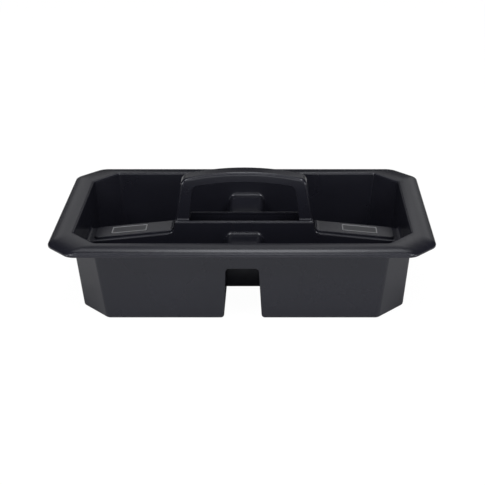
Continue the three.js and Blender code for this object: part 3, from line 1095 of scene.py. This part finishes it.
@dataclass(frozen=True)
class Lamp:
    """A round soft box that faces the caddy: its azimuth from behind, its elevation and its power."""

    name: str
    azimuth: float
    elevation: float
    power: float
    size: float = 0.7
    reach: float = 2.2
    target_height: float = 0.06

    def build(self) -> None:
        """Adds the lamp to the scene."""
        light = bpy.data.lights.new(self.name, "AREA")
        light.shape = "DISK"
        light.size = self.size
        light.energy = self.power
        made = bpy.data.objects.new(self.name, light)
        bpy.context.scene.collection.objects.link(made)
        turn, rise = math.radians(self.azimuth), math.radians(self.elevation)
        away = Vector((math.sin(turn) * math.cos(rise), math.cos(turn) * math.cos(rise), math.sin(rise)))
        place = away * self.reach + Vector((0, 0, self.target_height))
        made.matrix_world = Matrix.Translation(place) @ (-away).to_track_quat("-Z", "Y").to_matrix().to_4x4()


@dataclass(frozen=True)
class Studio:
    """The camera, the white floor, the backdrop's light and the soft boxes."""

    camera_place: tuple[float, float, float] = (0.03932, -1.16934, 0.59589)
    camera_pitch: float = math.radians(64.87)
    lens: float = 81.65
    sensor_width: float = 36
    shift_x: float = -0.0738
    floor_size: float = 6.0
    floor_colour: float = 0.8
    floor_glow: float = 0.93
    floor_glow_strength: float = 1.05
    floor_drop: float = 0.0003
    world_strength: float = 0.02
    lamps: tuple[Lamp, ...] = (
        Lamp("right low fill", 120, 4, 11),
        Lamp("left low fill", 240, 4, 10),
        Lamp("front right fill", 160, 22, 3.5),
        Lamp("front left fill", 200, 22, 3),
        Lamp("front low fill", 180, 8, 3.5),
        Lamp("right softbox", 133, 45, 13),
        Lamp("left softbox", 228, 45, 13),
        Lamp("front overhead softbox", 180, 60, 4),
        Lamp("right overhead softbox", 120, 68, 2),
        Lamp("left overhead softbox", 240, 68, 2),
        Lamp("overhead softbox", 0, 90, 2.6),
        Lamp("back overhead softbox", 0, 68, 6),
        Lamp("back right upper strip", 25, 58, 1.4),
        Lamp("back left upper strip", 335, 58, 1.4),
        Lamp("back upper strip", 0, 40, 0.6),
        Lamp("back right strip", 21, 24, 0.55),
        Lamp("back left strip", 339, 24, 0.55),
        Lamp("back right inner strip", 11, 30, 0.35, 0.5),
        Lamp("back left inner strip", 349, 30, 0.2, 0.5),
        Lamp("back right low strip", 25, 12, 0.3),
        Lamp("back left low strip", 335, 12, 0.2),
    )

    def build_camera(self) -> None:
        """Adds the camera at the photograph's viewing angle."""
        camera = bpy.data.cameras.new("camera")
        camera.lens = self.lens
        camera.sensor_width = self.sensor_width
        camera.shift_x = self.shift_x
        camera.clip_end = 50
        made = bpy.data.objects.new("camera", camera)
        made.location = self.camera_place
        made.rotation_euler = (self.camera_pitch, 0, 0)
        bpy.context.scene.collection.objects.link(made)
        bpy.context.scene.camera = made

    def build_floor(self) -> None:
        """Adds the white floor, which keeps the object's shadow."""
        mesh = bmesh.new()
        bmesh.ops.create_grid(mesh, x_segments=1, y_segments=1, size=self.floor_size / 2,
                              matrix=Matrix.Translation((0, 0, -self.floor_drop)))
        floor = to_object("studio_floor", mesh)
        material = bpy.data.materials.new("studio white")
        material.use_nodes = True
        nodes, links = material.node_tree.nodes, material.node_tree.links
        nodes.clear()
        output = nodes.new("ShaderNodeOutputMaterial")
        paint = nodes.new("ShaderNodeBsdfDiffuse")
        paint.inputs["Color"].default_value = (self.floor_colour,) * 3 + (1,)
        glow = nodes.new("ShaderNodeEmission")
        glow.inputs["Strength"].default_value = self.floor_glow_strength
        both = nodes.new("ShaderNodeMixShader")
        path = nodes.new("ShaderNodeLightPath")
        share = nodes.new("ShaderNodeMath")
        share.operation = "MULTIPLY"
        share.inputs[1].default_value = self.floor_glow
        links.new(path.outputs["Is Camera Ray"], share.inputs[0])
        links.new(share.outputs["Value"], both.inputs["Fac"])
        links.new(paint.outputs["BSDF"], both.inputs[1])
        links.new(glow.outputs["Emission"], both.inputs[2])
        links.new(both.outputs["Shader"], output.inputs["Surface"])
        floor.data.materials.append(material)

    def build_world(self) -> None:
        """Sets the studio's own light, which is white where the camera sees it."""
        world = bpy.data.worlds.new("studio")
        bpy.context.scene.world = world
        world.use_nodes = True
        nodes, links = world.node_tree.nodes, world.node_tree.links
        background = nodes["Background"]
        background.inputs["Color"].default_value = (1, 1, 1, 1)
        path = nodes.new("ShaderNodeLightPath")
        level = nodes.new("ShaderNodeMapRange")
        level.inputs["To Min"].default_value = self.world_strength
        level.inputs["To Max"].default_value = 1.0
        links.new(path.outputs["Is Camera Ray"], level.inputs["Value"])
        links.new(level.outputs["Result"], background.inputs["Strength"])

    def build(self) -> None:
        """Adds the whole studio."""
        bpy.context.scene.view_settings.view_transform = "Standard"
        self.build_camera()
        self.build_floor()
        self.build_world()
        for lamp in self.lamps:
            lamp.build()


def main() -> None:
    """Builds the studio and the caddy's pieces in order."""
    logging.basicConfig(level=logging.INFO, format="%(name)s: %(message)s")
    Studio().build()
    black = BLACK_PLASTIC.material()
    grey, dark_grey = PLATE_PLASTIC.material(), PANEL_PLASTIC.material()
    tub = Tub()
    saddle = Saddle(tub)
    CaddyMoulding(tub, FingerTunnels(tub), saddle).build(black)
    CarryHandle(saddle.height).build(black)
    for wing in Wing:
        LabelPlate(saddle).build(wing, grey, dark_grey)


if __name__ == "__main__":
    main()
